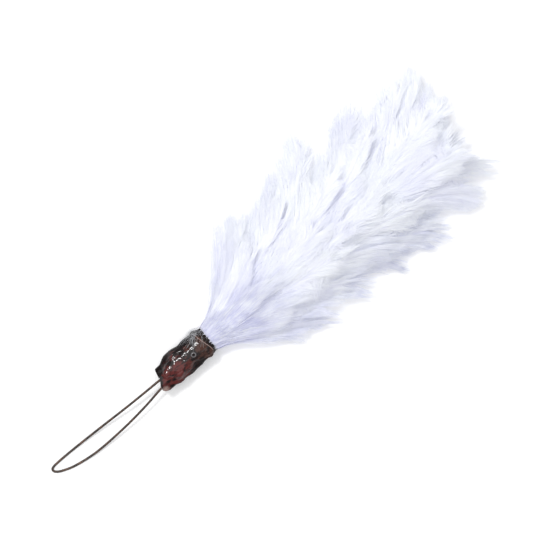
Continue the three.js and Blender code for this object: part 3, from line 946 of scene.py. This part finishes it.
def from_axis(x, around, radius):
    """Points at a radius and angle round the binding's axis, and the directions straight out."""
    outward = np.stack([np.zeros_like(around), np.cos(around), np.sin(around)], axis=-1)
    points = radius[..., None] * outward + np.stack([x, 0 * x, 0 * x + AXIS_HEIGHT], axis=-1)
    points[..., 2] = np.maximum(points[..., 2], SURFACE_CLEARANCE)
    return points, outward


def make_down(material):
    chance = np.random.default_rng(7)
    paths, outward = (np.concatenate(pair) for pair in zip(forward_down(chance), caught_down(chance)))
    widths = np.repeat((FEET["width"], CAUGHT["width"]), (FEET["count"], CAUGHT["count"]))
    points, faces, uv = ribbons(paths, outward, chance, widths[:, None, None])
    piece = new_piece("down", points, faces, material)
    set_uv(piece, uv)
    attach(piece, "root")


make_down(white_barbs)

# The surface, the light and the camera
# The hackle lies on a plain white sheet, under a large soft lamp overhead and a small one to the
# upper left, in a bright room. The camera looks straight down with a long lens.
IMAGE_RIGHT = Vector((0.766, -0.643, 0))
IMAGE_UP = Vector((0.643, 0.766, 0))
FRAME_MIDDLE = Vector((38.8, 4.0, 6.0)) * MM
FRAME_WIDTH = 167.4 * MM
LENS = dict(lens=150, sensor_width=36, clip_start=0.01, clip_end=20)
SHEET_HALF = 3000
SHEET_GLOW = 0.16
SHEET_GRAIN = dict(scale=0.8, detail=2)
SHEET_COLOURS = (0.3, (0.86, 0.86, 0.865)), (0.7, (0.9, 0.9, 0.9))
ROOM_COLOUR = (0.97, 0.98, 1)
ROOM_BRIGHTNESS = 0.42
LAMPS = (
    dict(name="softbox", way=(-0.05, 0.05, 1), distance=0.85, size=1.5, energy=6.4),
    dict(name="lamp", way=(-0.35, 0.32, 1), distance=0.83, size=0.15, energy=2.6),
)


def make_surface():
    """A flat sheet that reaches well past the picture. Its glow is the light from a white room."""
    finish = Finish(
        "white_sheet", Roughness=0.9, Specular_IOR_Level=0.1, Emission_Color=(1, 1, 1, 1),
        Emission_Strength=SHEET_GLOW,
    )
    grain = finish.noise(finish.place(), **SHEET_GRAIN)
    finish.feed("Base Color", finish.ramp(grain, *SHEET_COLOURS))
    corners = SHEET_HALF * np.array(((-1, -1, 0), (1, -1, 0), (1, 1, 0), (-1, 1, 0)), float)
    new_piece("sheet", corners, np.array([[0, 1, 2, 3]]), finish.material)


def make_lamp(name, way, distance, size, energy):
    """A round lamp at a distance from the middle of the frame, towards a way given as right, up
    and towards the camera. It shines at the middle."""
    light = bpy.data.lights.new(name, "AREA")
    light.shape = "DISK"
    light.size = size
    light.energy = energy
    right, up, near = way
    towards = (right * IMAGE_RIGHT + up * IMAGE_UP + Vector((0, 0, near))).normalized()
    lamp = bpy.data.objects.new(name, light)
    turn = (-towards).to_track_quat("-Z", "Y").to_matrix().to_4x4()
    lamp.matrix_world = Matrix.Translation(FRAME_MIDDLE + towards * distance) @ turn
    bpy.context.scene.collection.objects.link(lamp)


def make_room():
    world = bpy.data.worlds.new("room")
    world.use_nodes = True
    sky = world.node_tree.nodes["Background"]
    sky.inputs["Color"].default_value = (*ROOM_COLOUR, 1)
    sky.inputs["Strength"].default_value = ROOM_BRIGHTNESS
    bpy.context.scene.world = world


def make_camera():
    data = bpy.data.cameras.new("camera")
    for setting, value in LENS.items():
        setattr(data, setting, value)
    distance = FRAME_WIDTH * LENS["lens"] / LENS["sensor_width"]
    camera = bpy.data.objects.new("camera", data)
    turned = Matrix((IMAGE_RIGHT, IMAGE_UP, Vector((0, 0, 1)))).transposed().to_4x4()
    camera.matrix_world = Matrix.Translation(FRAME_MIDDLE + Vector((0, 0, distance))) @ turned
    bpy.context.scene.collection.objects.link(camera)
    bpy.context.scene.camera = camera


make_surface()
for lamp in LAMPS:
    make_lamp(**lamp)
make_room()
make_camera()
bpy.context.scene.view_settings.view_transform = "Standard"
bpy.context.scene.cycles.diffuse_bounces = 12
bpy.context.scene.cycles.max_bounces = 16
